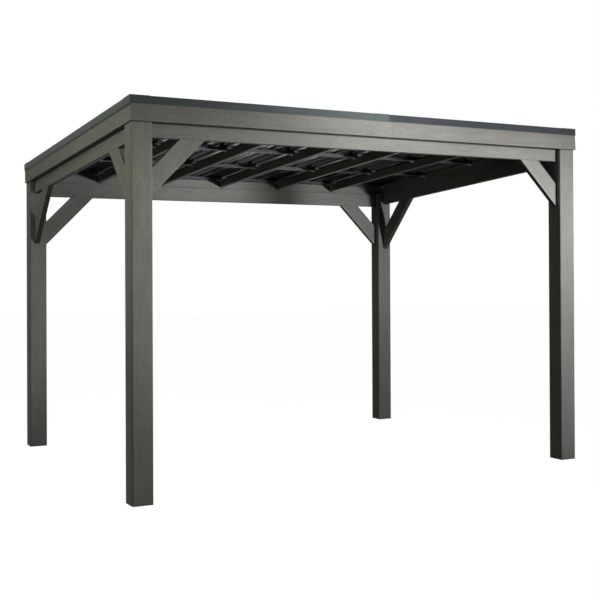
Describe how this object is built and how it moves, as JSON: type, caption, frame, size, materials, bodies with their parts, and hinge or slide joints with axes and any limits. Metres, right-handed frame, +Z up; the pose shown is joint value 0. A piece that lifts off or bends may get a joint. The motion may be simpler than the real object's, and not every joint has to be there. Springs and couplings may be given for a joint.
{
  "type": "garden gazebo",
  "caption": "Open timber garden gazebo: square posts with knee braces carry a boarded roof frame with ribbed metal sheets falling gently to the back.",
  "frame": {"origin": "on the ground, in the middle of the gazebo's plan", "axes": "+X to the right along the long open front, +Y from the front to the lower back of the roof, +Z up"},
  "size_m": [3.665, 2.8315, 2.5953],
  "materials": {
    "stained_timber": "grey translucent stain, fine grain, satin",
    "rafter_timber": "grey translucent stain, satin",
    "purlin_metal": "satin grey coating",
    "roof_metal": "charcoal coating, low gloss",
    "edge_metal": "slate coating, satin"
  },
  "bodies": {
    "root": {"post_front_left": "stained_timber", "post_front_right": "stained_timber", "post_back_left": "stained_timber", "post_back_right": "stained_timber", "beam_front": "stained_timber", "beam_back": "stained_timber", "beam_left": "stained_timber", "beam_right": "stained_timber", "brace_along_front_left": "stained_timber", "brace_along_front_right": "stained_timber", "brace_along_back_left": "stained_timber", "brace_along_back_right": "stained_timber", "brace_side_front_left": "stained_timber", "brace_side_front_right": "stained_timber", "brace_side_back_left": "stained_timber", "brace_side_back_right": "stained_timber", "fascia_front_left": "stained_timber", "fascia_front_right": "stained_timber", "fascia_back_left": "stained_timber", "fascia_back_right": "stained_timber", "fascia_left": "stained_timber", "fascia_right": "stained_timber", "rafter_1": "rafter_timber", "rafter_2": "rafter_timber", "rafter_3": "rafter_timber", "rafter_4": "rafter_timber", "rafter_5": "rafter_timber", "purlin_1": "purlin_metal", "purlin_2": "purlin_metal", "ledger_front": "purlin_metal", "ledger_back": "purlin_metal", "roof_sheet_1": "roof_metal", "roof_sheet_2": "roof_metal", "roof_sheet_3": "roof_metal", "roof_sheet_4": "roof_metal", "flashing_front_left": "edge_metal", "flashing_front_right": "edge_metal", "flashing_back_left": "edge_metal", "flashing_back_right": "edge_metal", "flashing_left": "edge_metal", "flashing_right": "edge_metal", "flashing_cap_front_left": "edge_metal", "flashing_cap_front_right": "edge_metal", "flashing_cap_back_left": "edge_metal", "flashing_cap_back_right": "edge_metal"}
  },
  "joints": []
}
